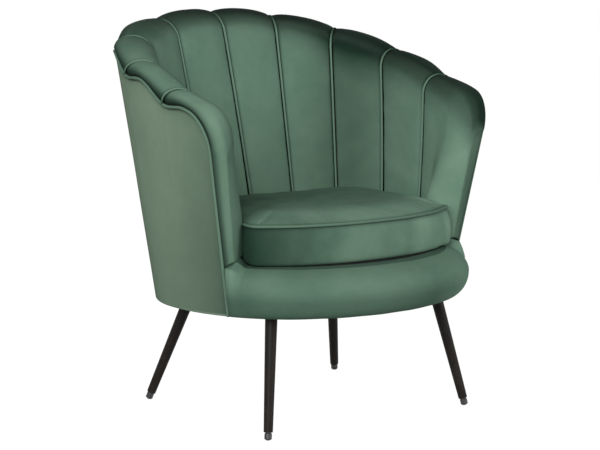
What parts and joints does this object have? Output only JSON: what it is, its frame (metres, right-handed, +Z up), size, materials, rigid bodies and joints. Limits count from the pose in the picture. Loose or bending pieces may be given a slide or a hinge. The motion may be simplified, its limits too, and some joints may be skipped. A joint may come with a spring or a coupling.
{
  "type": "scallop back tub armchair",
  "caption": "Green velvet tub armchair with a channelled scallop shell back, a loose seat cushion and four splayed tapered metal legs.",
  "frame": {"origin": "on the floor, under the middle of the chair's overall footprint", "axes": "+Z up from the floor; -Y towards the front of the seat; +X towards the arm on the right of someone who faces the chair"},
  "size_m": [0.7482, 0.705, 0.8156],
  "materials": {
    "velvet": "soft green velvet with a short pile",
    "velvet_outside": "green velvet, pulled flat over the board",
    "plywood": "sawn plywood",
    "timber": "planed softwood",
    "fibreboard": "bent fibreboard",
    "webbing": "woven elastic webbing",
    "foam": "cut polyurethane foam",
    "zinc": "zinc plated",
    "black_metal": "near-black satin coat",
    "black_plastic": "moulded, satin",
    "felt": "non-woven dust cloth"
  },
  "bodies": {
    "frame": {"base_ring": "plywood", "seat_ring": "plywood", "corner_block_front_left": "timber", "corner_block_front_right": "timber", "corner_block_rear_left": "timber", "corner_block_rear_right": "timber", "front_band": "plywood", "back_rib_1": "plywood", "back_rib_2": "plywood", "back_rib_3": "plywood", "back_rib_4": "plywood", "back_rib_5": "plywood", "back_rib_6": "plywood", "back_rib_7": "plywood", "arm_post_left": "timber", "arm_post_right": "timber", "rim_rail": "plywood", "outside_cover": "velvet_outside", "outside_board": "fibreboard", "lining_board": "fibreboard", "channel_pad_left_5": "velvet", "channel_pad_left_4": "velvet", "channel_pad_left_3": "velvet", "channel_pad_left_2": "velvet", "channel_pad_left_1": "velvet", "channel_pad_right_1": "velvet", "channel_pad_right_2": "velvet", "channel_pad_right_3": "velvet", "channel_pad_right_4": "velvet", "channel_pad_right_5": "velvet", "seam_piping": "velvet", "front_border": "velvet", "seat_webbing": "webbing", "deck_pad": "foam", "leg_front_left": "black_metal", "leg_screw_front_left_1": "zinc", "leg_screw_front_left_2": "zinc", "leg_screw_front_left_3": "zinc", "leg_front_right": "black_metal", "leg_screw_front_right_1": "zinc", "leg_screw_front_right_2": "zinc", "leg_screw_front_right_3": "zinc", "leg_rear_left": "black_metal", "leg_screw_rear_left_1": "zinc", "leg_screw_rear_left_2": "zinc", "leg_screw_rear_left_3": "zinc", "leg_rear_right": "black_metal", "leg_screw_rear_right_1": "zinc", "leg_screw_rear_right_2": "zinc", "leg_screw_rear_right_3": "zinc", "dust_cover": "felt"},
    "cushion": {"seat_cushion": "velvet", "cushion_piping": "velvet"},
    "glide_front_left_body": {"glide_front_left": "black_plastic"},
    "glide_front_right_body": {"glide_front_right": "black_plastic"},
    "glide_rear_left_body": {"glide_rear_left": "black_plastic"},
    "glide_rear_right_body": {"glide_rear_right": "black_plastic"}
  },
  "joints": [
    {"name": "cushion_lift", "type": "slide", "parent": "frame", "child": "cushion", "axis": [0, 0, 1], "range_m": [0, 0.45]},
    {"name": "glide_front_left_screw_out", "type": "slide", "parent": "frame", "child": "glide_front_left_body", "axis": [-0.1774, -0.1976, -0.9641], "range_m": [0, 0.01]},
    {"name": "glide_front_right_screw_out", "type": "slide", "parent": "frame", "child": "glide_front_right_body", "axis": [0.1774, -0.1976, -0.9641], "range_m": [0, 0.01]},
    {"name": "glide_rear_left_screw_out", "type": "slide", "parent": "frame", "child": "glide_rear_left_body", "axis": [-0.2549, 0.2863, -0.9236], "range_m": [0, 0.01]},
    {"name": "glide_rear_right_screw_out", "type": "slide", "parent": "frame", "child": "glide_rear_right_body", "axis": [0.2549, 0.2863, -0.9236], "range_m": [0, 0.01]}
  ]
}
